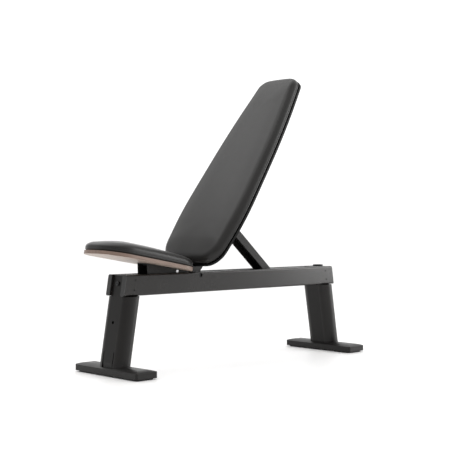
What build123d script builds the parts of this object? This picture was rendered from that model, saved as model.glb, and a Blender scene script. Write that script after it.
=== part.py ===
from build123d import *
from math import cos, radians, sin, tan
import os

# Adjustable weight bench: a twin-rail beam on two splayed legs, a long tapered
# backrest that hinges near the beam's middle and is propped by a channel strut
# on a toothed rack, and a short seat that tilts on its own hinge.
# Millimetres.  +Z is up, +X runs from the seat end to the raised-backrest end,
# and the origin is on the floor under the middle of the whole bench.

os.makedirs("parts", exist_ok=True)

# ---------------------------------------------------------------- driving sizes
beam_mid_x = 27.0  # middle of the beam, seen from the origin
beam_length = 1150.0  # along the top edge
rail_height = 79.0
rail_thickness = 22.0
rail_wall = 3.5
rail_gap = 64.0
rail_top_z = 372.0
rail_edge_radius = 7.5
end_cap_thickness = 3.0
end_cap_plug_depth = 12.0
fit_gap = 0.05  # radial clearance of shafts and bolts in their holes

leg_splay = 0.170  # run per rise
leg_reach = 542.0  # leg centre from mid beam, at the rails' underside
leg_tube_depth = 75.0  # along the bench
leg_tube_wall = 4.0
leg_bore_radius = 3.0
cover_bulge = 36.0  # how far a side cover stands out from the tube
cover_wall = 3.0
cover_top_gap = 1.5  # shadow gap between a cover and its rail
leg_cap_thickness = 4.0

foot_reach = 585.0
foot_length = 376.0  # across the bench
foot_width = 100.0
foot_edge_top_z = 27.0
foot_crown_z = 37.0
foot_end_round = (38.0, 35.0)  # how far in the ends are rounded, and up to what height
foot_underside_z = 5.0
foot_corner = 6.0
foot_socket_depth = 12.0
pad_length = 92.0
pad_width = 82.0

back_angle = 54.5  # backrest from horizontal, at rest
pivot_reach = -206.0  # backrest pivot from mid beam
pivot_z = 360.0
pivot_radius = 8.0
shaft_recess = 6.0
barrel_radius = 16.0
bush_radius = 11.0
spine_width = 40.0
spine_front = 19.0  # spine faces, measured square to the backrest
spine_back = -15.0
spine_end = 292.0
spine_wall = 3.0
hinge_block_width = 60.0
hinge_block_end = 36.0
lug_back = -6.0  # faces of the hinge block, square to the backrest
lug_front = 34.0
mount_plate_thickness = 5.0
mount_plate_width = 90.0
mount_plate_start = 70.0
mount_plate_end = 640.0
back_board_thickness = 9.0
back_pad_thickness = 50.0
back_pad_round = 25.0
back_bottom = 24.0  # distances along the backrest from its pivot
back_top = 968.0
back_pad_bottom = 27.5
pad_inset = 1.5  # pads stand in from their boards' edges

strut_anchor = 270.0  # strut pin along the backrest
strut_length = 364.0
strut_angle = 41.3  # below horizontal, at rest
strut_ratio = 0.68  # strut turn for each turn of the backrest, to the floor
strut_width = 62.0
strut_depth = 30.0
strut_wall = 3.0
strut_web_start = 32.0
strut_pin_radius = 7.0
lower_pin_radius = 6.0

spacer_radius = 8.0
spacer_z = 305.0
rack_width = 24.0
rack_clear = 0.9  # between the strut's lower pin and the tips of the teeth
rack_base_z = 294.0
rack_reach = (162.0, 444.0)
notch_depth = 9.0
notch_angles = (0.0, 12.0, 24.0, 35.0, 45.0, 54.5)  # backrest angles held

seat_tilt = 10.0
seat_tip_reach = -688.0
seat_tip_z = 466.5  # top face of the seat board at its front
seat_length = 453.0
seat_front_half = 122.0
seat_rear_half = 96.0
seat_board_thickness = 13.0
seat_pad_thickness = 45.0
seat_pad_round = 36.0
seat_hinge_reach = -308.0
seat_hinge_z = 378.0
seat_pin_radius = 4.0
seat_hub_radius = 6.8
hinge_hub_width = 46.0
hinge_base_half = 20.0
hinge_base_top_z = 345.0
bracket_width = 60.0
bracket_wall = 3.0
bracket_front_reach = -454.0
bracket_floor_z = 346.0
bracket_tail = 60.0  # side plates run this far past the hinge pin

insert_radius = 5.5
board_bolt_radius = 3.5
seat_bush_radius = 5.4
bolt_radius = 5.0
hex_socket = 6.0

# --------------------------------------------------------------- derived places
rail_bottom_z = rail_top_z - rail_height
rail_inner_y = rail_gap / 2
rail_outer_y = rail_inner_y + rail_thickness
half_beam = beam_length / 2
pivot_x = beam_mid_x + pivot_reach
anchor_x = pivot_x + strut_anchor * cos(radians(back_angle))
anchor_z = pivot_z + strut_anchor * sin(radians(back_angle))
board_back = spine_front + mount_plate_thickness
board_front = board_back + back_board_thickness
seat_tip_x = beam_mid_x + seat_tip_reach
seat_hinge_x = beam_mid_x + seat_hinge_reach
ENDS = {"front": -1, "rear": 1}
SIDES = {"near": -1, "far": 1}


def leg_x(end, z):
    """Centre of a leg at height z; end is -1 at the front and 1 at the rear."""
    return beam_mid_x + end * (leg_reach + leg_splay * (rail_bottom_z - z))


def side_plane(x, z, angle):
    """Plane of a side view whose x runs up a slope, drawn about y = 0."""
    return Plane(origin=(x, 0, z), x_dir=(cos(radians(angle)), 0, sin(radians(angle))), z_dir=(0, -1, 0))


def face_plane(x, z, angle, height):
    """Plane parallel to a sloping board, height above the slope's own line."""
    normal = (-sin(radians(angle)), 0, cos(radians(angle)))
    start = (x + height * normal[0], 0, z + height * normal[2])
    return Plane(origin=start, x_dir=(cos(radians(angle)), 0, sin(radians(angle))), z_dir=normal)


back_side = side_plane(pivot_x, pivot_z, back_angle)
strut_side = side_plane(anchor_x, anchor_z, -strut_angle)
seat_side = side_plane(seat_tip_x, seat_tip_z, -seat_tilt)


def save(part, label):
    """Label a finished piece and write it."""
    part.label = label
    export_step(part, f"parts/{label}.step")


# ------------------------------------------------------------------ beam rails
def beam_outline(inset):
    """Side view of the beam between its leaning ends, each set in a little."""
    flare = leg_splay * rail_height
    left = beam_mid_x - half_beam + inset
    right = beam_mid_x + half_beam - inset
    with BuildLine() as outline:
        Polyline(
            (left, rail_top_z),
            (right, rail_top_z),
            (right + flare, rail_bottom_z),
            (left - flare, rail_bottom_z),
            close=True,
        )
    make_face(outline.edges())


def end_outline(end, start, depth, margin):
    """Side view of a leaning slice at one end, start to start + depth inwards."""
    outer = beam_mid_x + end * (half_beam - start)
    inner = outer - end * depth
    top = rail_top_z - margin
    bottom = rail_bottom_z + margin
    flare_top = end * leg_splay * margin
    flare_bottom = end * leg_splay * (rail_height - margin)
    with BuildLine() as outline:
        Polyline(
            (outer + flare_top, top),
            (inner + flare_top, top),
            (inner + flare_bottom, bottom),
            (outer + flare_bottom, bottom),
            close=True,
        )
    make_face(outline.edges())


bolt_heights = (rail_bottom_z + 22, rail_top_z - 20)
bolt_places = [(leg_x(end, z), z) for end in ENDS.values() for z in bolt_heights]
spacer_places = [(beam_mid_x + x, spacer_z) for x in (-400, 190, 305, 420)]

for side_name, side in SIDES.items():
    near_face = rail_inner_y if side < 0 else -rail_outer_y
    with BuildPart() as rail:
        with BuildSketch(Plane.XZ.offset(near_face)):
            beam_outline(end_cap_thickness)
        extrude(amount=rail_thickness)
        fillet(rail.edges().filter_by(Axis.X), radius=rail_edge_radius)
        with BuildSketch(Plane.YZ.offset(-beam_length)):
            with Locations((side * (rail_inner_y + rail_thickness / 2), rail_top_z - rail_height / 2)):
                Rectangle(rail_thickness - 2 * rail_wall, rail_height - 2 * rail_wall)
        extrude(amount=2 * beam_length, mode=Mode.SUBTRACT)
        with BuildSketch(Plane.XZ):
            with Locations((pivot_x, pivot_z)):
                Circle(pivot_radius + fit_gap)
            with Locations(*bolt_places):
                Circle(bolt_radius + fit_gap)
        extrude(amount=2 * rail_outer_y, both=True, mode=Mode.SUBTRACT)
    save(rail.part, f"{side_name}_rail")

with BuildPart() as rail_end_caps:
    for side in SIDES.values():
        near_face = rail_inner_y if side < 0 else -rail_outer_y
        for end in ENDS.values():
            with BuildSketch(Plane.XZ.offset(near_face)):
                end_outline(end, 0, end_cap_thickness, 0)
            extrude(amount=rail_thickness)
    fillet(rail_end_caps.edges().filter_by(Axis.X), radius=rail_edge_radius)
    for side in SIDES.values():
        plug_face = (rail_inner_y if side < 0 else -rail_outer_y) + rail_wall + fit_gap
        for end in ENDS.values():
            with BuildSketch(Plane.XZ.offset(plug_face)):
                end_outline(end, end_cap_thickness, end_cap_plug_depth, rail_wall + fit_gap)
            extrude(amount=rail_thickness - 2 * (rail_wall + fit_gap))
save(rail_end_caps.part, "rail_end_caps")

with BuildPart() as beam_spacers:
    with BuildSketch(Plane.XZ):
        with Locations(*spacer_places):
            Circle(spacer_radius)
    extrude(amount=rail_inner_y, both=True)
save(beam_spacers.part, "beam_spacers")

# ------------------------------------------------------------------------ feet
socket_floor_z = foot_crown_z - foot_socket_depth


def leg_plane(end, z):
    """Level plane through one leg's centre at height z."""
    return Plane(origin=(leg_x(end, z), 0, z), x_dir=(1, 0, 0), z_dir=(0, 0, 1))


def extrude_leg(section, end, rise, mode=Mode.ADD):
    """Extrude a level section through a rise, following the lean of one leg."""
    lean = Vector(-end * leg_splay * rise, 0, rise)
    extrude(section.sketch, amount=lean.length, dir=lean.normalized(), mode=mode)


def tube_outline():
    Rectangle(leg_tube_depth, rail_gap)


def tube_bore_outline():
    bore_depth = leg_tube_depth - 2 * leg_tube_wall
    bore_width = rail_gap - 2 * leg_tube_wall
    RectangleRounded(bore_depth, bore_width, leg_bore_radius, mode=Mode.SUBTRACT)


def cover_outline(side, inset):
    """Half-oval section of a side cover, standing off one face of the tube."""
    half = leg_tube_depth / 2 - inset
    root = side * (rail_gap / 2 + inset)
    tip = side * (rail_gap / 2 + cover_bulge - inset)
    with BuildLine() as outline:
        edge = Line((-half, root), (half, root))
        ThreePointArc(edge @ 1, (half * 0.72, root + (tip - root) * 0.70), (0, tip))
        ThreePointArc((0, tip), (-half * 0.72, root + (tip - root) * 0.70), edge @ 0)
    make_face(outline.edges())


for end_name, end in ENDS.items():
    foot_x = beam_mid_x + end * foot_reach
    with BuildPart() as foot:
        with BuildSketch(Plane.XY.offset(foot_underside_z)) as plan:
            with Locations((foot_x, 0)):
                Rectangle(foot_width, foot_length)
            chamfer(plan.vertices(), length=foot_corner)
        extrude(amount=foot_crown_z - foot_underside_z)
        with BuildSketch(Plane.YZ.offset(foot_x - foot_width)):
            with BuildLine():
                tip = foot_length / 2
                inner = tip - foot_end_round[0]
                knee = tip - 0.4 * foot_end_round[0]
                inner_z = foot_end_round[1]
                knee_z = foot_edge_top_z + 0.72 * (inner_z - foot_edge_top_z)
                crown = ThreePointArc((-inner, inner_z), (0, foot_crown_z), (inner, inner_z))
                right = ThreePointArc(crown @ 1, (knee, knee_z), (tip, foot_edge_top_z))
                left = ThreePointArc((-tip, foot_edge_top_z), (-knee, knee_z), crown @ 0)
                Polyline(right @ 1, (tip, 0), (-tip, 0), left @ 0)
            make_face()
        extrude(amount=2 * foot_width, mode=Mode.INTERSECT)
        with BuildSketch(Plane.XZ.offset(-foot_length)):
            with BuildLine():
                camber = ThreePointArc(
                    (foot_x - foot_width / 2, foot_edge_top_z),
                    (foot_x, foot_crown_z),
                    (foot_x + foot_width / 2, foot_edge_top_z),
                )
                Polyline(
                    camber @ 1,
                    (foot_x + foot_width / 2, 0),
                    (foot_x - foot_width / 2, 0),
                    camber @ 0,
                )
            make_face()
        extrude(amount=2 * foot_length, mode=Mode.INTERSECT)
        with BuildSketch(leg_plane(end, socket_floor_z)) as section:
            tube_outline()
            for side in SIDES.values():
                cover_outline(side, 0)
        extrude_leg(section, end, foot_socket_depth + 10, Mode.SUBTRACT)
    save(foot.part, f"{end_name}_foot")

with BuildPart() as foot_pads:
    with BuildSketch(Plane.XY):
        for end in ENDS.values():
            for side in SIDES.values():
                with Locations((beam_mid_x + end * foot_reach, side * (foot_length - pad_length - 20) / 2)):
                    RectangleRounded(pad_width, pad_length, 12)
    extrude(amount=foot_underside_z)
save(foot_pads.part, "foot_pads")

# ------------------------------------------------------------------------ legs
cap_seat_z = rail_top_z - leg_cap_thickness
end_bolt_z = 339.0
drain_hole_z = 195.5
end_bolt_radius = 4.0

for end_name, end in ENDS.items():
    with BuildPart() as leg_tube:
        with BuildSketch(leg_plane(end, socket_floor_z)) as section:
            tube_outline()
            tube_bore_outline()
        extrude_leg(section, end, cap_seat_z - socket_floor_z)
        with BuildSketch(Plane.XZ):
            with Locations(*bolt_places):
                Circle(bolt_radius + fit_gap)
        extrude(amount=rail_gap, both=True, mode=Mode.SUBTRACT)
        for hole_z, hole_radius in ((end_bolt_z, end_bolt_radius + fit_gap), (drain_hole_z, 6)):
            start = (leg_x(end, hole_z), 0, hole_z)
            with BuildSketch(Plane(origin=start, x_dir=(0, 1, 0), z_dir=(end, 0, 0))):
                Circle(hole_radius)
            extrude(amount=leg_tube_depth, mode=Mode.SUBTRACT)
    save(leg_tube.part, f"{end_name}_leg_tube")

    cover_top_z = rail_bottom_z - cover_top_gap
    for side_name, side in SIDES.items():
        with BuildPart() as cover:
            with BuildSketch(leg_plane(end, socket_floor_z)) as section:
                cover_outline(side, 0)
            extrude_leg(section, end, cover_top_z - socket_floor_z)
            with BuildSketch(leg_plane(end, socket_floor_z)) as section:
                cover_outline(side, cover_wall)
            extrude_leg(section, end, cover_top_z - 2 * cover_wall - socket_floor_z, Mode.SUBTRACT)
        save(cover.part, f"{end_name}_leg_{side_name}_cover")

with BuildPart() as leg_top_caps:
    for end in ENDS.values():
        with BuildSketch(leg_plane(end, cap_seat_z)) as section:
            tube_outline()
        extrude_leg(section, end, leg_cap_thickness - 0.5)
save(leg_top_caps.part, "leg_top_caps")

with BuildPart() as rail_bolts:
    for side in SIDES.values():
        for x, z in bolt_places:
            face = Plane(origin=(x, side * rail_outer_y, z), x_dir=(1, 0, 0), z_dir=(0, side, 0))
            with BuildSketch(face):
                Circle(bolt_radius)
            extrude(amount=-(rail_thickness + leg_tube_wall + 6))
            with BuildSketch(face):
                RegularPolygon(hex_socket / 2, 6, major_radius=False)
            extrude(amount=-3, mode=Mode.SUBTRACT)
save(rail_bolts.part, "rail_bolts")

with BuildPart() as leg_end_bolts:
    for end in ENDS.values():
        lean_angle = (end, 0, leg_splay)
        face_x = leg_x(end, end_bolt_z) + end * leg_tube_depth / 2
        face = Plane(origin=(face_x, 0, end_bolt_z), x_dir=(0, 1, 0), z_dir=lean_angle)
        with BuildSketch(face):
            Circle(9)
        extrude(amount=5, taper=8)
        with BuildSketch(Plane(origin=(face_x, 0, end_bolt_z), x_dir=(0, 1, 0), z_dir=(-end, 0, 0))):
            Circle(end_bolt_radius)
        extrude(amount=leg_tube_wall + 8)
        with BuildSketch(face.offset(5)):
            RegularPolygon(hex_socket / 2, 6, major_radius=False)
        extrude(amount=-3, mode=Mode.SUBTRACT)
save(leg_end_bolts.part, "leg_end_bolts")

with BuildPart() as rear_bumper:
    bumper_x = leg_x(1, rail_top_z) + 14
    with BuildSketch(Plane.XY.offset(rail_top_z - 0.5)):
        with Locations((bumper_x, 0)):
            Circle(22)
    extrude(amount=7, taper=6)
    with BuildSketch(Plane.XY.offset(rail_top_z + 6.5)):
        with Locations((bumper_x, 0)):
            Circle(4)
    extrude(amount=-3, mode=Mode.SUBTRACT)
save(rear_bumper.part, "rear_bumper")

# ----------------------------------------------------------- backrest and hinge
with BuildPart() as backrest_pivot_shaft:
    with BuildSketch(Plane.XZ):
        with Locations((pivot_x, pivot_z)):
            Circle(pivot_radius)
    extrude(amount=rail_outer_y - shaft_recess, both=True)
    chamfer(backrest_pivot_shaft.edges().filter_by(GeomType.CIRCLE), length=1)
save(backrest_pivot_shaft.part, "backrest_pivot_shaft")

with BuildPart() as backrest_spine:
    with BuildSketch(back_side):
        with BuildLine():
            Polyline(
                (0, lug_back),
                (hinge_block_end, lug_back),
                (hinge_block_end, board_back),
                (20, board_back),
                (20, lug_front),
                (4, lug_front),
                (-8, 14),
                close=True,
            )
        make_face()
        Circle(barrel_radius)
    extrude(amount=hinge_block_width / 2, both=True)
    with BuildSketch(back_side):
        with Locations(((hinge_block_end + spine_end) / 2, (spine_front + spine_back) / 2)):
            Rectangle(spine_end - hinge_block_end, spine_front - spine_back)
    extrude(amount=spine_width / 2, both=True)
    with BuildSketch(back_side):
        with Locations(((hinge_block_end + spine_end) / 2 + 10, (spine_front + spine_back) / 2)):
            Rectangle(spine_end - hinge_block_end - 26, spine_front - spine_back - 2 * spine_wall)
    extrude(amount=spine_width / 2 - spine_wall, both=True, mode=Mode.SUBTRACT)
    with BuildSketch(back_side):
        Circle(bush_radius)
        with Locations((strut_anchor, 0)):
            Circle(strut_pin_radius)
    extrude(amount=hinge_block_width, both=True, mode=Mode.SUBTRACT)
save(backrest_spine.part, "backrest_spine")

with BuildPart() as backrest_pivot_bushes:
    for side in SIDES.values():
        start = side_plane(pivot_x, pivot_z, back_angle).offset(-side * (hinge_block_width / 2 - 18))
        with BuildSketch(start):
            Circle(bush_radius)
            Circle(pivot_radius + fit_gap, mode=Mode.SUBTRACT)
        extrude(amount=-side * 18)
        with BuildSketch(side_plane(pivot_x, pivot_z, back_angle).offset(-side * hinge_block_width / 2)):
            Circle(barrel_radius - 1)
            Circle(pivot_radius + fit_gap, mode=Mode.SUBTRACT)
        extrude(amount=-side * 1.5)
save(backrest_pivot_bushes.part, "backrest_pivot_bushes")

back_bolt_places = [(u, y) for u in (100, 200, 330, 460, 600) for y in (-30, 30)]

with BuildPart() as backrest_mount_plate:
    with BuildSketch(face_plane(pivot_x, pivot_z, back_angle, spine_front)):
        with Locations(((mount_plate_start + mount_plate_end) / 2, 0)):
            RectangleRounded(mount_plate_end - mount_plate_start, mount_plate_width, 10)
        with Locations(*back_bolt_places):
            Circle(board_bolt_radius, mode=Mode.SUBTRACT)
    extrude(amount=mount_plate_thickness)
save(backrest_mount_plate.part, "backrest_mount_plate")


def rounded_board(corners, radii, bow_start, bow_end):
    """Closed outline, mirrored about y = 0, with bowed ends and rounded corners."""
    first, last = corners[0], corners[-1]
    mirrored = [(u, -y) for u, y in reversed(corners)]
    with BuildLine() as outline:
        Polyline(*corners)
        ThreePointArc(last, (last[0] + bow_end, 0), mirrored[0])
        Polyline(*mirrored)
        ThreePointArc(mirrored[-1], (first[0] - bow_start, 0), first)
    make_face(outline.edges())
    for (u, y), radius in zip(corners, radii):
        for side in (-1, 1):
            corner = vertices().sort_by_distance((u, side * y, 0))[0]
            fillet(corner, radius=radius)


def back_outline(low, inset):
    """Long tapered outline of the backrest, widest low down, from its low end up."""
    high = back_top - inset
    corners = ((low + 6, 158 - inset), (230, 184 - inset), (700, 150 - inset), (high - 8, 101 - inset))
    rounded_board(corners, (78 - inset, 1250, 3200, 50 - inset), 6, 8)


def seat_outline(inset):
    """Rounded outline of the seat, a little wider at the front."""
    low, high = inset, seat_length - inset
    corners = ((low + 7, seat_front_half - inset), (high - 7, seat_rear_half - inset))
    rounded_board(corners, (95 - inset, 86 - inset), 7, 7)


def rounded_pad(plan, face, thickness, edge_radius):
    """Solid of a pad: its plan, thick and well rounded all along its front edge."""
    with BuildPart() as pad:
        extrude(plan.sketch, amount=thickness)
        front = pad.faces().sort_by(Axis(face.origin, face.z_dir))[-1]
        fillet(front.edges(), radius=edge_radius)
    return pad.part


with BuildPart() as backrest_board:
    with BuildSketch(face_plane(pivot_x, pivot_z, back_angle, board_back)):
        back_outline(back_bottom, 0)
        with Locations(*back_bolt_places):
            Circle(insert_radius, mode=Mode.SUBTRACT)
    extrude(amount=back_board_thickness)
save(backrest_board.part, "backrest_board")

back_face = face_plane(pivot_x, pivot_z, back_angle, board_front)
with BuildSketch(back_face) as back_plan:
    back_outline(back_pad_bottom, pad_inset)
save(rounded_pad(back_plan, back_face, back_pad_thickness, back_pad_round), "backrest_pad")


def board_bolts(face, places, reach):
    """Bolts that pass up through the plate whose underside is the given plane."""
    with BuildSketch(face) as shanks:
        with Locations(*places):
            Circle(board_bolt_radius)
    extrude(shanks.sketch, amount=reach)
    with BuildSketch(face) as heads:
        with Locations(*places):
            Circle(2 * board_bolt_radius)
    extrude(heads.sketch, amount=-3)
    with BuildSketch(face.offset(-3)) as sockets:
        with Locations(*places):
            RegularPolygon(2.5, 6, major_radius=False)
    extrude(sockets.sketch, amount=2, mode=Mode.SUBTRACT)


def board_inserts(face, places, depth):
    """Threaded inserts pressed into a board, flush with its underside."""
    with BuildSketch(face) as rings:
        with Locations(*places):
            Circle(insert_radius)
            Circle(board_bolt_radius + fit_gap, mode=Mode.SUBTRACT)
    extrude(rings.sketch, amount=depth)


with BuildPart() as backrest_board_bolts:
    plate_face = face_plane(pivot_x, pivot_z, back_angle, spine_front)
    board_bolts(plate_face, back_bolt_places, mount_plate_thickness + 6)
save(backrest_board_bolts.part, "backrest_board_bolts")

with BuildPart() as backrest_board_inserts:
    underside = face_plane(pivot_x, pivot_z, back_angle, board_back)
    board_inserts(underside, back_bolt_places, back_board_thickness - 1)
save(backrest_board_inserts.part, "backrest_board_inserts")

# ----------------------------------------------------------------------- strut
with BuildPart() as strut:
    with BuildSketch(strut_side):
        with Locations((strut_length / 2, 0)):
            SlotCenterToCenter(strut_length, strut_depth)
    extrude(amount=strut_width / 2, both=True)
    with BuildSketch(strut_side):
        with Locations((strut_length / 2, -strut_wall)):
            Rectangle(strut_length + 2 * strut_depth, strut_depth)
        for low, high in ((-strut_depth, strut_web_start), (strut_length - 20, strut_length + strut_depth)):
            with Locations(((low + high) / 2, 0)):
                Rectangle(high - low, 2 * strut_depth)
    extrude(amount=strut_width / 2 - strut_wall, both=True, mode=Mode.SUBTRACT)
    with BuildSketch(strut_side):
        Circle(strut_pin_radius + fit_gap)
        with Locations((strut_length, 0)):
            Circle(lower_pin_radius)
    extrude(amount=strut_width, both=True, mode=Mode.SUBTRACT)
save(strut.part, "strut")

with BuildPart() as strut_upper_pin:
    with BuildSketch(strut_side):
        Circle(strut_pin_radius)
    extrude(amount=strut_width / 2, both=True)
    chamfer(strut_upper_pin.edges().filter_by(GeomType.CIRCLE), length=1)
save(strut_upper_pin.part, "strut_upper_pin")

with BuildPart() as strut_spacers:
    spacer_run = (strut_width - 2 * strut_wall - spine_width) / 2 - 0.4
    for side in SIDES.values():
        with BuildSketch(strut_side.offset(-side * (spine_width / 2))):
            Circle(11)
            Circle(strut_pin_radius, mode=Mode.SUBTRACT)
        extrude(amount=-side * spacer_run)
save(strut_spacers.part, "strut_spacers")

with BuildPart() as strut_lower_pin:
    with BuildSketch(strut_side):
        with Locations((strut_length, 0)):
            Circle(lower_pin_radius)
    extrude(amount=strut_width / 2, both=True)
    chamfer(strut_lower_pin.edges().filter_by(GeomType.CIRCLE), length=1)
save(strut_lower_pin.part, "strut_lower_pin")


# ------------------------------------------------------------------ toothed rack
def lower_pin_place(angle):
    """Where the strut's lower pin is when the backrest is at an angle to level."""
    slope = strut_angle + strut_ratio * (angle - back_angle)
    top_x = pivot_x + strut_anchor * cos(radians(angle))
    top_z = pivot_z + strut_anchor * sin(radians(angle))
    x = top_x + strut_length * cos(radians(slope))
    z = top_z - strut_length * sin(radians(slope))
    return x, z


pin_drop = lower_pin_radius + rack_clear
tip_path = [lower_pin_place(angle) for angle in (61, 54, 46, 37, 27, 16, 0)]
tip_path = [(x, z - pin_drop) for x, z in tip_path]
rack_low = beam_mid_x + rack_reach[0]
rack_high = beam_mid_x + rack_reach[1]

with BuildPart() as position_rack:
    with BuildSketch(Plane.XZ):
        with BuildLine():
            tips = Spline(*tip_path)
            Polyline(
                tips @ 1,
                (rack_high, (tips @ 1).Y - 2),
                (rack_high, rack_base_z),
                (rack_low, rack_base_z),
                (rack_low, (tips @ 0).Y - 2),
                tips @ 0,
            )
        make_face()
        for angle in notch_angles:
            x, z = lower_pin_place(angle)
            with Locations((x, z - pin_drop - notch_depth + lower_pin_radius)):
                Circle(lower_pin_radius + 0.5, mode=Mode.SUBTRACT)
            with Locations((x - 1, z - pin_drop - notch_depth + 2 * lower_pin_radius)):
                Rectangle(2 * lower_pin_radius - 1, 2 * lower_pin_radius, mode=Mode.SUBTRACT)
        with Locations(*spacer_places):
            Circle(spacer_radius, mode=Mode.SUBTRACT)
    extrude(amount=rack_width / 2, both=True)
save(position_rack.part, "position_rack")

# ------------------------------------------------------------------------- seat
hinge_s = (seat_hinge_x - seat_tip_x) * cos(radians(seat_tilt))
hinge_s -= (seat_hinge_z - seat_tip_z) * sin(radians(seat_tilt))
hinge_h = (seat_hinge_x - seat_tip_x) * sin(radians(seat_tilt))
hinge_h += (seat_hinge_z - seat_tip_z) * cos(radians(seat_tilt))
bracket_x = beam_mid_x + bracket_front_reach
bracket_s = (bracket_x - seat_tip_x) * cos(radians(seat_tilt))
bracket_s -= (bracket_floor_z - seat_tip_z) * sin(radians(seat_tilt))
bracket_h = (bracket_x - seat_tip_x) * sin(radians(seat_tilt))
bracket_h += (bracket_floor_z - seat_tip_z) * cos(radians(seat_tilt))
bracket_top_s = bracket_s - 14
bracket_plate_end = hinge_s - 25
seat_bolt_places = [(bracket_top_s + run, y) for run in (26, 92) for y in (-15, 15)]

with BuildPart() as seat_bracket:
    with BuildSketch(seat_side):
        with BuildLine():
            Polyline(
                (bracket_top_s, -seat_board_thickness),
                (hinge_s + bracket_tail, -seat_board_thickness),
                (hinge_s + bracket_tail, -seat_board_thickness - 4),
                (hinge_s + 12, hinge_h - 6),
                (hinge_s + 4, hinge_h - 9),
                (bracket_s, bracket_h),
                close=True,
            )
        make_face()
    extrude(amount=bracket_width / 2, both=True)
    with BuildSketch(seat_side):
        with BuildLine():
            Polyline(
                (bracket_top_s - 10, -seat_board_thickness - bracket_wall),
                (bracket_plate_end, -seat_board_thickness - bracket_wall),
                (bracket_plate_end, 0),
                (hinge_s + bracket_tail + 10, 0),
                (hinge_s + bracket_tail + 10, bracket_h - 20),
                (bracket_top_s - 10, bracket_h - 20),
                close=True,
            )
        make_face()
    extrude(amount=bracket_width / 2 - bracket_wall, both=True, mode=Mode.SUBTRACT)
    with BuildSketch(seat_side):
        with Locations((hinge_s, hinge_h)):
            Circle(seat_pin_radius)
    extrude(amount=bracket_width, both=True, mode=Mode.SUBTRACT)
    with BuildSketch(face_plane(seat_tip_x, seat_tip_z, -seat_tilt, -seat_board_thickness)):
        with Locations(*seat_bolt_places):
            Circle(board_bolt_radius)
    extrude(amount=-2 * bracket_wall, mode=Mode.SUBTRACT)
save(seat_bracket.part, "seat_bracket")

with BuildPart() as seat_board:
    with BuildSketch(face_plane(seat_tip_x, seat_tip_z, -seat_tilt, -seat_board_thickness)):
        seat_outline(0)
        with Locations(*seat_bolt_places):
            Circle(insert_radius, mode=Mode.SUBTRACT)
    extrude(amount=seat_board_thickness)
save(seat_board.part, "seat_board")

seat_face = face_plane(seat_tip_x, seat_tip_z, -seat_tilt, 0)
with BuildSketch(seat_face) as seat_plan:
    seat_outline(pad_inset)
save(rounded_pad(seat_plan, seat_face, seat_pad_thickness, seat_pad_round), "seat_pad")

with BuildPart() as seat_board_bolts:
    plate_face = face_plane(seat_tip_x, seat_tip_z, -seat_tilt, -seat_board_thickness - bracket_wall)
    board_bolts(plate_face, seat_bolt_places, bracket_wall + 9)
save(seat_board_bolts.part, "seat_board_bolts")

with BuildPart() as seat_board_inserts:
    underside = face_plane(seat_tip_x, seat_tip_z, -seat_tilt, -seat_board_thickness)
    board_inserts(underside, seat_bolt_places, seat_board_thickness - 1)
save(seat_board_inserts.part, "seat_board_inserts")

with BuildPart() as seat_hinge_block:
    with BuildSketch(Plane.XZ):
        with BuildLine():
            Polyline(
                (seat_hinge_x - seat_hub_radius, seat_hinge_z),
                (seat_hinge_x + seat_hub_radius, seat_hinge_z),
                (seat_hinge_x + hinge_base_half, hinge_base_top_z),
                (seat_hinge_x - hinge_base_half, hinge_base_top_z),
                close=True,
            )
        make_face()
        with Locations((seat_hinge_x, seat_hinge_z)):
            Circle(seat_hub_radius)
    extrude(amount=hinge_hub_width / 2, both=True)
    with BuildSketch(Plane.XZ):
        with Locations((seat_hinge_x, hinge_base_top_z - 15)):
            Rectangle(2 * hinge_base_half, 30)
    extrude(amount=rail_inner_y, both=True)
    with BuildSketch(Plane.XZ):
        with Locations((seat_hinge_x, seat_hinge_z)):
            Circle(seat_bush_radius)
    extrude(amount=rail_inner_y, both=True, mode=Mode.SUBTRACT)
save(seat_hinge_block.part, "seat_hinge_block")

with BuildPart() as seat_hinge_bush:
    with BuildSketch(Plane.XZ):
        with Locations((seat_hinge_x, seat_hinge_z)):
            Circle(seat_bush_radius)
            Circle(seat_pin_radius + fit_gap, mode=Mode.SUBTRACT)
    extrude(amount=hinge_hub_width / 2, both=True)
save(seat_hinge_bush.part, "seat_hinge_bush")

with BuildPart() as seat_hinge_pin:
    with BuildSketch(Plane.XZ):
        with Locations((seat_hinge_x, seat_hinge_z)):
            Circle(seat_pin_radius)
    extrude(amount=bracket_width / 2 + 1, both=True)
    for side in SIDES.values():
        with BuildSketch(Plane.XZ.offset(-side * bracket_width / 2)):
            with Locations((seat_hinge_x, seat_hinge_z)):
                Circle(seat_pin_radius + 2)
        extrude(amount=-side * 1.2)
save(seat_hinge_pin.part, "seat_hinge_pin")
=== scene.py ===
import math

import bmesh
import bpy
import numpy as np
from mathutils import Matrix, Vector
from mathutils.geometry import convex_hull_2d


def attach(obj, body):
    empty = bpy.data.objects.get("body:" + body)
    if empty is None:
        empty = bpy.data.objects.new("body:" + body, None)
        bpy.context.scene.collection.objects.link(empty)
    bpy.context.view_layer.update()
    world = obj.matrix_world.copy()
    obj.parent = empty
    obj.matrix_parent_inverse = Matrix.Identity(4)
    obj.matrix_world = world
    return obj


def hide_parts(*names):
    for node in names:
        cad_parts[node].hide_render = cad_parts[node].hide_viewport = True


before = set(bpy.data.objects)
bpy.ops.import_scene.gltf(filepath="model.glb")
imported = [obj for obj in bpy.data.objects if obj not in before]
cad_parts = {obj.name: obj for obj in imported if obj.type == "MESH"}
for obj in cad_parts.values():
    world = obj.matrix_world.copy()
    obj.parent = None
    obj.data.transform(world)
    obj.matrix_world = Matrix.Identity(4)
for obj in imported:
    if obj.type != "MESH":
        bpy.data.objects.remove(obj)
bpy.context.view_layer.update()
MM = 0.001

BACK_ANGLE = 54.5
SEAT_ANGLE = -10.0

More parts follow.
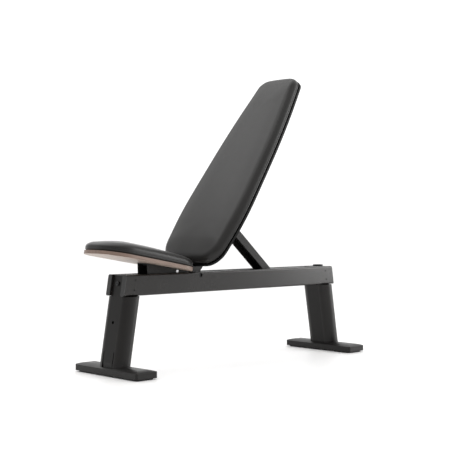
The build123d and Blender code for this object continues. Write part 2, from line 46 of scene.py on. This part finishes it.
PLY_THICKNESS = 0.0028
LOOP_SPACING = 5.5 * MM  # between the points around a cushion
CLOTH_FRAMES = 20
EVENING_ROUNDS = 60
SEAM_DEPTH = 1.6 * MM
SEAM_LIP = 0.25 * MM
STITCH_LENGTH = 4.6 * MM
STITCH_RADIUS = 0.45 * MM
STITCH_STEP = 7.0 * MM
LIGHT_FROM = (0.75, 0.35, 0.56)
DIM_SIDE = 0.43
BRIGHT_SIDE = 1.33


# --------------------------------------------------------------- node materials
class Nodes:
    """A small helper that builds one material's node tree."""

    def __init__(self, name):
        self.material = bpy.data.materials.new(name)
        self.material.use_nodes = True
        self.tree = self.material.node_tree
        self.shader = self.tree.nodes["Principled BSDF"]
        self.coords = self.add("ShaderNodeTexCoord").outputs["Object"]

    def add(self, kind, **settings):
        node = self.tree.nodes.new(kind)
        for key, value in settings.items():
            setattr(node, key, value)
        return node

    def link(self, source, target):
        self.tree.links.new(source, target)

    def set(self, **sockets):
        for key, value in sockets.items():
            self.shader.inputs[key.replace("_", " ")].default_value = value

    def mapped(self, rotation=(0, 0, 0), scale=(1, 1, 1)):
        node = self.add("ShaderNodeMapping")
        node.inputs["Rotation"].default_value = rotation
        node.inputs["Scale"].default_value = scale
        self.link(self.coords, node.inputs["Vector"])
        return node.outputs["Vector"]

    def noise(self, scale, detail=3.0, rough=0.5, vector=None, distortion=0.0):
        node = self.add("ShaderNodeTexNoise")
        node.inputs["Scale"].default_value = scale
        node.inputs["Detail"].default_value = detail
        node.inputs["Roughness"].default_value = rough
        node.inputs["Distortion"].default_value = distortion
        self.link(vector or self.coords, node.inputs["Vector"])
        return node.outputs["Fac"]

    def cells(self, scale, feature="SMOOTH_F1", vector=None):
        node = self.add("ShaderNodeTexVoronoi", feature=feature)
        node.inputs["Scale"].default_value = scale
        self.link(vector or self.coords, node.inputs["Vector"])
        return node.outputs["Distance"]

    def ramp(self, source, stops):
        node = self.add("ShaderNodeValToRGB")
        elements = node.color_ramp.elements
        while len(elements) < len(stops):
            elements.new(0.5)
        for element, (place, colour) in zip(elements, stops):
            element.position = place
            element.color = (*colour, 1)
        self.link(source, node.inputs["Fac"])
        return node.outputs["Color"]

    def math(self, operation, first, second):
        node = self.add("ShaderNodeMath", operation=operation)
        for socket, value in zip(node.inputs, (first, second)):
            if isinstance(value, (int, float)):
                socket.default_value = value
            else:
                self.link(value, socket)
        return node.outputs[0]

    def rough(self, source, low, high):
        node = self.add("ShaderNodeMapRange")
        node.inputs["To Min"].default_value = low
        node.inputs["To Max"].default_value = high
        self.link(source, node.inputs["Value"])
        self.link(node.outputs["Result"], self.shader.inputs["Roughness"])

    def bump(self, source, strength, distance):
        node = self.add("ShaderNodeBump")
        node.inputs["Strength"].default_value = strength
        node.inputs["Distance"].default_value = distance
        self.link(source, node.inputs["Height"])
        self.link(node.outputs["Normal"], self.shader.inputs["Normal"])


def grey(value, tint=(1, 1, 1)):
    return tuple(value * t for t in tint)


def coated_metal(name, shade, grain_scale, grain, low, high, gloss=0.3, tint=(1.10, 1.0, 0.94)):
    """Powder-coated steel: faint orange peel, soft mottling and dusty patches."""
    n = Nodes(name)
    mottle = n.noise(9, 5, 0.6)
    n.link(
        n.ramp(mottle, [(0.25, grey(shade * 0.86, tint)), (0.75, grey(shade * 1.14, tint))]),
        n.shader.inputs["Base Color"],
    )
    n.rough(n.noise(23, 4, 0.55), low, high)
    peel = n.math("ADD", n.noise(grain_scale, 2), n.math("MULTIPLY", n.noise(grain_scale * 4, 2), 0.35))
    n.bump(peel, grain, 0.0006)
    n.set(Specular_IOR_Level=gloss)
    return n.material


def vinyl():
    """Upholstery vinyl: pebbled grain, slow tone changes and a soft gloss."""
    n = Nodes("upholstery_vinyl")
    tone = n.noise(3.2, 3, 0.5)
    n.link(
        n.ramp(tone, [(0.3, (0.0105, 0.0098, 0.0092)), (0.7, (0.0150, 0.0140, 0.0132))]),
        n.shader.inputs["Base Color"],
    )
    pebble = n.cells(620)
    fine = n.noise(2400, 2)
    creases = n.noise(190, 4, 0.6)
    height = n.math("ADD", n.math("MULTIPLY", pebble, 0.8), n.math("MULTIPLY", fine, 0.3))
    height = n.math("ADD", height, n.math("MULTIPLY", creases, 0.5))
    n.bump(height, 0.22, 0.0005)
    n.rough(n.noise(40, 4, 0.6), 0.30, 0.40)
    n.set(Specular_IOR_Level=0.3, Sheen_Weight=0.04, Sheen_Roughness=0.4)
    return n.material


def plywood(name, angle, dark, light, ply_dark, along_grain, gloss, coat):
    """Sealed plywood: long grain on its faces and thin plies along its edge."""
    n = Nodes(name)
    board = n.mapped(rotation=(0, math.radians(angle), 0))
    grain_space = n.add("ShaderNodeMapping")
    grain_space.inputs["Scale"].default_value = along_grain
    n.link(board, grain_space.inputs["Vector"])
    grain = n.noise(1.0, 8, 0.62, grain_space.outputs["Vector"], 0.6)
    pores = n.noise(6.0, 4, 0.7, grain_space.outputs["Vector"], 0.2)
    wood = n.ramp(grain, [(0.30, dark), (0.52, light), (0.72, dark)])
    split = n.add("ShaderNodeSeparateXYZ")
    n.link(board, split.inputs[0])
    plies = n.math("SINE", n.math("MULTIPLY", split.outputs["Z"], 2 * math.pi / PLY_THICKNESS), 0)
    plies = n.math("MULTIPLY", n.math("ADD", plies, 1), 0.5)
    facing = n.add("ShaderNodeNewGeometry").outputs["Normal"]
    across = n.add("ShaderNodeVectorMath", operation="DOT_PRODUCT")
    n.link(facing, across.inputs[0])
    lean = math.radians(-angle)
    across.inputs[1].default_value = (math.sin(lean) * -1, 0, math.cos(lean))
    edge = n.math("LESS_THAN", n.math("ABSOLUTE", across.outputs["Value"], 0), 0.5)
    mix = n.add("ShaderNodeMix", data_type="RGBA", blend_type="MULTIPLY")
    shown = n.math("ADD", n.math("MULTIPLY", plies, 0.3), 0.65)
    n.link(n.math("MULTIPLY", edge, shown), mix.inputs["Factor"])
    n.link(wood, mix.inputs[6])
    mix.inputs[7].default_value = (*ply_dark, 1)
    n.link(mix.outputs[2], n.shader.inputs["Base Color"])
    n.rough(pores, 0.36, 0.56)
    n.bump(n.math("ADD", grain, n.math("MULTIPLY", pores, 0.5)), 0.16, 0.0004)
    n.set(Specular_IOR_Level=gloss, Coat_Weight=coat, Coat_Roughness=0.3)
    return n.material


def metal(name, colour, low, high, scratch, strength=0.12):
    """Bare or oxidised metal with fine turning marks."""
    n = Nodes(name)
    streaks = n.noise(1.0, 6, 0.7, n.mapped(scale=scratch))
    n.link(
        n.ramp(streaks, [(0.3, tuple(c * 0.8 for c in colour)), (0.7, colour)]),
        n.shader.inputs["Base Color"],
    )
    n.rough(streaks, low, high)
    n.bump(streaks, strength, 0.0002)
    n.set(Metallic=1.0)
    return n.material


def moulded(name, shade, scale, strength, low, high):
    """Moulded plastic or rubber with a fine spark-eroded grain."""
    n = Nodes(name)
    n.link(
        n.ramp(n.noise(30, 4), [(0.3, grey(shade * 0.85)), (0.7, grey(shade * 1.15))]),
        n.shader.inputs["Base Color"],
    )
    n.rough(n.noise(60, 3), low, high)
    n.bump(n.noise(scale, 3, 0.6), strength, 0.0004)
    return n.material


def thread():
    """Bonded black thread with a visible twist."""
    n = Nodes("seam_thread")
    twist = n.noise(1800, 2, 0.5, n.mapped(rotation=(0.6, 0.4, 0.7), scale=(1, 3, 1)))
    n.link(
        n.ramp(twist, [(0.3, grey(0.020)), (0.7, grey(0.052))]),
        n.shader.inputs["Base Color"],
    )
    n.rough(twist, 0.5, 0.7)
    n.bump(twist, 0.4, 0.0004)
    return n.material


BEAM_COAT = coated_metal("beam_coat", 0.012, 900, 0.06, 0.18, 0.26, 0.38)
# The leg tubes and leg covers share one powder coat. The tube copy is darker as painted shade on its
# outboard faces. The cover copy is lighter as painted light on its near sides.
LEG_COAT_PAINTED_SHADE = coated_metal("leg_coat_painted_shade", 0.007, 900, 0.10, 0.30, 0.40, 0.20)
COVER_COAT = coated_metal("cover_coat", 0.010, 760, 0.10, 0.28, 0.38, 0.26)
FRAME_COAT = coated_metal("frame_coat", 0.008, 900, 0.12, 0.34, 0.44, 0.25)
FOOT_COAT = coated_metal("foot_coat", 0.009, 420, 0.25, 0.34, 0.46, 0.28)
VINYL = vinyl()
PLY_GRAIN = (5, 60, 60)
SEAT_PLY = plywood(
    "seat_plywood",
    SEAT_ANGLE,
    (0.30, 0.225, 0.185),
    (0.42, 0.335, 0.280),
    (0.36, 0.28, 0.25),
    PLY_GRAIN,
    0.4,
    0.1,
)
BACK_PLY = plywood(
    "back_board_ply", BACK_ANGLE, grey(0.003), grey(0.005), grey(0.5), PLY_GRAIN, 0.12, 0
)
BRIGHT = metal("bright_steel", (0.62, 0.62, 0.63), 0.16, 0.30, (40, 900, 40))
OXIDE = metal("black_oxide", (0.06, 0.06, 0.062), 0.34, 0.5, (300, 300, 300), 0.2)
BRONZE = metal("bronze", (0.46, 0.30, 0.15), 0.28, 0.42, (60, 900, 60))
PLASTIC = moulded("black_plastic", 0.020, 1400, 0.25, 0.45, 0.6)
RUBBER = moulded("foot_rubber", 0.014, 900, 0.35, 0.75, 0.9)
THREAD = thread()

FINISHES = {
    "near_rail": BEAM_COAT,
    "far_rail": BEAM_COAT,
    "rail_end_caps": PLASTIC,
    "beam_spacers": FRAME_COAT,
    "front_foot": FOOT_COAT,
    "rear_foot": FOOT_COAT,
    "foot_pads": RUBBER,
    "front_leg_tube": LEG_COAT_PAINTED_SHADE,
    "rear_leg_tube": LEG_COAT_PAINTED_SHADE,
    "front_leg_near_cover": COVER_COAT,
    "front_leg_far_cover": COVER_COAT,
    "rear_leg_near_cover": COVER_COAT,
    "rear_leg_far_cover": COVER_COAT,
    "leg_top_caps": PLASTIC,
    "rail_bolts": BEAM_COAT,
    "leg_end_bolts": OXIDE,
    "rear_bumper": RUBBER,
    "backrest_pivot_shaft": OXIDE,
    "position_rack": FRAME_COAT,
    "seat_hinge_block": FRAME_COAT,
    "seat_hinge_bush": BRONZE,
    "backrest_spine": FRAME_COAT,
    "backrest_pivot_bushes": PLASTIC,
    "backrest_mount_plate": FRAME_COAT,
    "backrest_board": BACK_PLY,
    "backrest_board_bolts": OXIDE,
    "backrest_board_inserts": BRIGHT,
    "strut": FRAME_COAT,
    "strut_upper_pin": BRIGHT,
    "strut_lower_pin": BRIGHT,
    "strut_spacers": PLASTIC,
    "seat_bracket": FRAME_COAT,
    "seat_board": SEAT_PLY,
    "seat_board_bolts": OXIDE,
    "seat_board_inserts": BRIGHT,
    "seat_hinge_pin": BRIGHT,
}

for node_name, finish in FINISHES.items():
    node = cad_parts[node_name]
    node.data.materials.clear()
    node.data.materials.append(finish)


# ----------------------------------------------------------- padded upholstery
class Board:
    """The plane a pad lies on: along the board, across it, and square to it."""

    def __init__(self, node, angle):
        lean = math.radians(angle)
        self.along = np.array((math.cos(lean), 0, math.sin(lean)))
        self.across = np.array((0.0, 1.0, 0.0))
        self.normal = np.array((-math.sin(lean), 0, math.cos(lean)))
        points = np.array([v.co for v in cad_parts[node].data.vertices])
        local = np.stack((points @ self.along, points[:, 1], points @ self.normal), axis=1)
        self.base = local[:, 2].min()
        self.thickness = np.ptp(local[:, 2])
        flat = local[local[:, 2] < self.base + 0.3 * MM, :2]
        self.outline = flat[convex_hull_2d([tuple(p) for p in flat])]

    def place(self, plan, height):
        """World points above plan points (along, across) at a height."""
        flat = plan[:, :1] * self.along + plan[:, 1:] * self.across
        return flat + (self.base + height)[:, None] * self.normal


def mirrored_loop(outline, spacing):
    """The closed outline in even steps, the same on both sides of the middle."""
    closed = np.vstack((outline, outline[:1]))
    dense = []
    for first, last in zip(closed[:-1], closed[1:]):
        pieces = max(2, int(np.linalg.norm(last - first) / MM))
        dense.extend(first + (last - first) * k / pieces for k in range(pieces))
    dense = np.array(dense)
    half = dense[dense[:, 1] > 0]
    centre = (closed[:, 0].min() + closed[:, 0].max()) / 2
    order = np.argsort(np.arctan2(half[:, 1], half[:, 0] - centre))
    half = half[order]
    ends = np.array(((closed[:, 0].max(), 0.0), (closed[:, 0].min(), 0.0)))
    half = np.vstack((ends[:1], half, ends[1:]))
    run = np.concatenate(((0,), np.cumsum(np.linalg.norm(np.diff(half, axis=0), axis=1))))
    count = int(run[-1] / spacing)
    targets = np.linspace(0, run[-1], count + 1)
    half = np.stack([np.interp(targets, run, half[:, k]) for k in (0, 1)], axis=1)
    for _ in range(4):
        half[1:-1] = (half[:-2] + 2 * half[1:-1] + half[2:]) / 4
    return np.vstack((half, half[-2:0:-1] * (1, -1)))


class Pad:
    """Rings of points around a pad, welded into one closed mesh."""

    def __init__(self, name, rings):
        self.shape = (len(rings), len(rings[0]))
        points = np.concatenate(rings)
        _, first, self.where = np.unique(
            np.round(points, 6), axis=0, return_index=True, return_inverse=True
        )
        self.where = self.where.reshape(-1)
        self.first = first
        faces = []
        total, count = self.shape
        for r in range(total - 1):
            for k in range(count):
                j = (k + 1) % count
                corners = (r * count + k, r * count + j, (r + 1) * count + j, (r + 1) * count + k)
                welded = []
                for corner in corners:
                    index = int(self.where[corner])
                    if index not in welded:
                        welded.append(index)
                if len(welded) > 2:
                    faces.append(welded)
        mesh = bpy.data.meshes.new(name)
        mesh.from_pydata([tuple(p) for p in points[first]], [], faces)
        self.obj = bpy.data.objects.new(name, mesh)
        bpy.context.scene.collection.objects.link(self.obj)
        bm = bmesh.new()
        bm.from_mesh(mesh)
        bmesh.ops.recalc_face_normals(bm, faces=bm.faces)
        bm.to_mesh(mesh)
        bm.free()

    def welded(self, values):
        """One value per ring point, as one value per welded vertex."""
        return np.asarray(values)[self.first]

    def points(self):
        return np.array([v.co for v in self.obj.data.vertices])

    def move_to(self, points):
        self.obj.data.vertices.foreach_set("co", points.astype(np.float32).ravel())
        self.obj.data.update()

    def ring(self, index):
        """The points of one ring as they now stand."""
        picked = self.where.reshape(self.shape)[index]
        return self.points()[picked]


def evened(values, edges, rounds):
    """Values averaged with their neighbours along a mesh's edges."""
    count = np.zeros(len(values))
    np.add.at(count, edges.ravel(), 1)
    for _ in range(rounds):
        total = np.zeros_like(values)
        np.add.at(total, edges[:, 0], values[edges[:, 1]])
        np.add.at(total, edges[:, 1], values[edges[:, 0]])
        values = (values + total / np.maximum(count, 1)[:, None]) / 2
    return values


def inflate(pad, free, pressure, cap):
    """Swell a cover by cloth simulation, held below its seam."""
    obj = pad.obj
    before = pad.points()
    pins = obj.vertex_groups.new(name="held")
    for index, value in enumerate(free):
        pins.add([index], float(1 - value), "REPLACE")
    cloth = obj.modifiers.new("cloth", "CLOTH")
    settings = cloth.settings
    settings.quality = 6
    settings.mass = 0.25
    settings.tension_stiffness = 25
    settings.compression_stiffness = 25
    settings.shear_stiffness = 12
    settings.bending_stiffness = 4
    settings.air_damping = 4
    settings.vertex_group_mass = "held"
    settings.use_pressure = True
    settings.uniform_pressure_force = pressure
    settings.effector_weights.gravity = 0
    cloth.collision_settings.use_collision = False
    for number in range(1, CLOTH_FRAMES + 1):
        bpy.context.scene.frame_set(number)
    solved = obj.evaluated_get(bpy.context.evaluated_depsgraph_get()).data
    move = np.array([v.co for v in solved.vertices]) - before
    obj.modifiers.remove(cloth)
    obj.vertex_groups.remove(pins)
    bpy.context.scene.frame_set(1)
    size = np.linalg.norm(move, axis=1)
    print("cloth", obj.name, "moved up to", round(float(size.max()) * 1000, 1), "mm")
    move *= np.minimum(1, cap / np.maximum(size, 1e-9))[:, None]
    edges = np.array([e.vertices[:] for e in obj.data.edges])
    move = evened(move, edges, EVENING_ROUNDS) * free[:, None]
    pad.move_to(before + move)


def section(thickness, edge_round, crown, reach):
    """Half section of a pad, as (inset, height): tucked base, side, seam, crown."""
    low = ((8.0, 0.0), (5.0, 0.0), (4.6, 1.5), (4.0, 3.0), (1.0, 5.0), (0.1, 7.5))
    seam = ((0.0, 9.6), (0.0, 11.0), (0.05, 11.7), (0.1, 12.3), (0.15, 12.9), (0.2, 13.6))
    points = [(inset * MM, height * MM) for inset, height in low + seam]
    start = 15.5 * MM
    shoulder = thickness - crown
    for k in range(12):
        turn = math.pi / 2 * k / 11
        inset = 0.3 * MM + edge_round * (1 - math.cos(turn))
        points.append((inset, start + (shoulder - start) * math.sin(turn)))
    first = 0.3 * MM + edge_round
    for k in range(1, 21):
        share = k / 20
        inset = first + (reach - first) * share
        points.append((inset, shoulder + crown * math.sin(math.pi / 2 * share)))
    return points


SEAM_RINGS = (9, 10, 11)  # their rings' numbers, after the base's two flat rings
SEAM_TOP = 13.6 * MM


def stitches(name, line, outwards, length, radius, step):
    """A closed run of short raised stitches along a line of points."""
    closed = np.vstack((line, line[:1]))
    run = np.concatenate(((0,), np.cumsum(np.linalg.norm(np.diff(closed, axis=0), axis=1))))
    count = int(run[-1] / step)
    bm = bmesh.new()
    sides = 6
    beads = ((-0.5, 0.15), (-0.36, 0.8), (0.0, 1.0), (0.36, 0.8), (0.5, 0.15))
    for s in range(count):
        middle = run[-1] * s / count
        ends = [(middle + d * length) % run[-1] for d in (-0.5, 0.0, 0.5)]
        a, b, c = (np.array([np.interp(e, run, closed[:, k]) for k in range(3)]) for e in ends)
        out = np.array([np.interp(ends[1], run[:-1], outwards[:, k]) for k in range(3)])
        tangent = Vector(c - a).normalized()
        side = Vector(out).normalized()
        up = tangent.cross(side).normalized()
        rows = []
        for along, width in beads:
            centre = Vector(b) + tangent * along * length + side * (radius * 0.3)
            centre -= side * (radius * 1.6 * (2 * abs(along)) ** 3)
            row = []
            for k in range(sides):
                turn = 2 * math.pi * k / sides
                ray = side * math.cos(turn) + up * math.sin(turn)
                row.append(bm.verts.new(centre + ray * radius * width))
            rows.append(row)
        for first, last in zip(rows[:-1], rows[1:]):
            for k in range(sides):
                j = (k + 1) % sides
                bm.faces.new((first[k], first[j], last[j], last[k]))
        bm.faces.new(rows[0][::-1])
        bm.faces.new(rows[-1])
    bmesh.ops.recalc_face_normals(bm, faces=bm.faces)
    mesh = bpy.data.meshes.new(name)
    bm.to_mesh(mesh)
    bm.free()
    mesh.materials.append(THREAD)
    mesh.shade_smooth()
    obj = bpy.data.objects.new(name, mesh)
    bpy.context.scene.collection.objects.link(obj)
    return obj


def upholster(name, node, body, angle, edge_round, crown, falls, pressure, cap):
    """A cover over its board: swollen by cloth, evened out, sewn all round near its base."""
    board = Board(node, angle)
    loop = mirrored_loop(board.outline, LOOP_SPACING)
    reach = loop[:, 1].max()
    low, high = loop[:, 0].min(), loop[:, 0].max()
    middle = loop * (1, 0)
    middle[:, 0] = np.clip(middle[:, 0], low + reach, high - reach)
    depth = np.linalg.norm(middle - loop, axis=1)
    inward = (middle - loop) / depth[:, None]
    shoulder = edge_round * 1.2
    rings = [board.place(loop + (middle - loop) * share, np.zeros(len(loop))) for share in (1.0, 0.5)]
    for inset, height in section(board.thickness, edge_round, crown, reach):
        blend = min(1, max(0, (inset - shoulder) / (reach - shoulder)))
        move = inset + (depth - reach) * blend * blend
        plan = loop + inward * move[:, None]
        along = (plan[:, 0] - low) / (high - low)
        factor = np.interp(along, *falls)
        rise = np.where(height > SEAM_TOP, SEAM_TOP + (height - SEAM_TOP) * factor, height)
        rings.append(board.place(plan, rise))
    pad = Pad(name, rings)
    number = np.repeat(np.arange(len(rings)), len(loop))
    inward3 = inward[:, :1] * board.along + inward[:, 1:] * board.across
    inward3 = pad.welded(np.tile(inward3, (len(rings), 1)))
    number = pad.welded(number)
    inflate(pad, np.clip((number - SEAM_RINGS[2] - 2) / 6.0, 0, 1), pressure, cap)
    points = pad.points()
    points[number == SEAM_RINGS[1]] += inward3[number == SEAM_RINGS[1]] * SEAM_DEPTH
    for ring in (SEAM_RINGS[0], SEAM_RINGS[2]):
        points[number == ring] += inward3[number == ring] * SEAM_LIP
    pad.move_to(points)
    pad.obj.data.materials.append(VINYL)
    smooth = pad.obj.modifiers.new("smooth", "SUBSURF")
    smooth.levels = smooth.render_levels = 1
    pad.obj.data.shade_smooth()
    outwards = -(inward[:, :1] * board.along + inward[:, 1:] * board.across)
    line = (pad.ring(SEAM_RINGS[2] + 1) + pad.ring(SEAM_RINGS[2] + 2)) / 2
    sewing = stitches(name + "_stitches", line, outwards, STITCH_LENGTH, STITCH_RADIUS, STITCH_STEP)
    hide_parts(node)
    for piece in (pad.obj, sewing):
        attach(piece, body)
    return pad.obj


BACK_FALLS = ((0, 0.03, 0.10, 0.2, 0.85, 0.95, 1), (0.80, 0.88, 0.97, 1, 1, 0.94, 0.82))
SEAT_FALLS = ((0, 0.08, 0.25, 0.5, 0.75, 0.92, 1), (0.72, 0.95, 1.16, 1.14, 1.02, 0.80, 0.55))
PRESSURE = 3.0
CAP = 4 * MM
upholster(
    "backrest_cushion", "backrest_pad", "backrest", BACK_ANGLE, 24 * MM, 5 * MM, BACK_FALLS, PRESSURE, CAP
)
upholster("seat_cushion", "seat_pad", "seat", SEAT_ANGLE, 34 * MM, 7 * MM, SEAT_FALLS, PRESSURE, CAP)


# ------------------------------------------------------------ floor and lights
def plain_floor():
    n = Nodes("studio_floor")
    n.link(
        n.ramp(n.noise(0.7, 3), [(0.3, (0.955, 0.950, 0.945)), (0.7, (0.970, 0.966, 0.962))]),
        n.shader.inputs["Base Color"],
    )
    n.rough(n.noise(4, 3), 0.42, 0.5)
    n.bump(n.noise(160, 3), 0.02, 0.0005)
    mesh = bpy.data.meshes.new("studio_floor")
    bm = bmesh.new()
    bmesh.ops.create_grid(bm, x_segments=8, y_segments=8, size=30)
    bm.to_mesh(mesh)
    bm.free()
    mesh.materials.append(n.material)
    floor = bpy.data.objects.new("studio_floor", mesh)
    bpy.context.scene.collection.objects.link(floor)


def softbox(name, place, aim, size, power, colour=(1, 1, 1)):
    lamp = bpy.data.lights.new(name, "AREA")
    lamp.shape = "RECTANGLE"
    lamp.size, lamp.size_y = size
    lamp.energy = power
    lamp.color = colour
    obj = bpy.data.objects.new(name, lamp)
    obj.location = place
    obj.rotation_euler = (Vector(aim) - Vector(place)).to_track_quat("-Z", "Y").to_euler()
    bpy.context.scene.collection.objects.link(obj)
    return obj


def studio_world():
    """White backdrop; its light is strongest from above and behind the raised end."""
    world = bpy.data.worlds.new("studio")
    world.use_nodes = True
    tree = world.node_tree
    towards = tree.nodes.new("ShaderNodeVectorMath")
    towards.operation = "DOT_PRODUCT"
    towards.inputs[1].default_value = LIGHT_FROM
    direction = tree.nodes.new("ShaderNodeTexCoord").outputs["Generated"]
    tree.links.new(direction, towards.inputs[0])
    level = tree.nodes.new("ShaderNodeMapRange")
    level.inputs["From Min"].default_value = -1
    level.inputs["To Min"].default_value = DIM_SIDE
    level.inputs["To Max"].default_value = BRIGHT_SIDE
    tree.links.new(towards.outputs["Value"], level.inputs["Value"])
    seen = tree.nodes.new("ShaderNodeMath")
    seen.operation = "MAXIMUM"
    tree.links.new(tree.nodes.new("ShaderNodeLightPath").outputs["Is Camera Ray"], seen.inputs[0])
    tree.links.new(level.outputs["Result"], seen.inputs[1])
    tree.links.new(seen.outputs[0], tree.nodes["Background"].inputs["Strength"])
    tree.nodes["Background"].inputs["Color"].default_value = (1, 1, 1, 1)
    bpy.context.scene.world = world


plain_floor()
studio_world()
softbox("overhead", (-0.6, 0.6, 3.2), (0, 0, 0.4), (3.0, 3.0), 40)
softbox("right_fill", (3.4, -1.9, 1.3), (0.2, 0, 0.5), (1.6, 2.4), 62)

lens = bpy.data.cameras.new("camera")
lens.lens = 83.94
lens.sensor_width = 36
camera = bpy.data.objects.new("camera", lens)
camera.location = (-2.9335, -3.1095, 0.5742)
camera.rotation_euler = (math.radians(89.746), 0, -math.radians(43.35))
bpy.context.scene.collection.objects.link(camera)
bpy.context.scene.camera = camera
bpy.context.scene.view_settings.view_transform = "Standard"
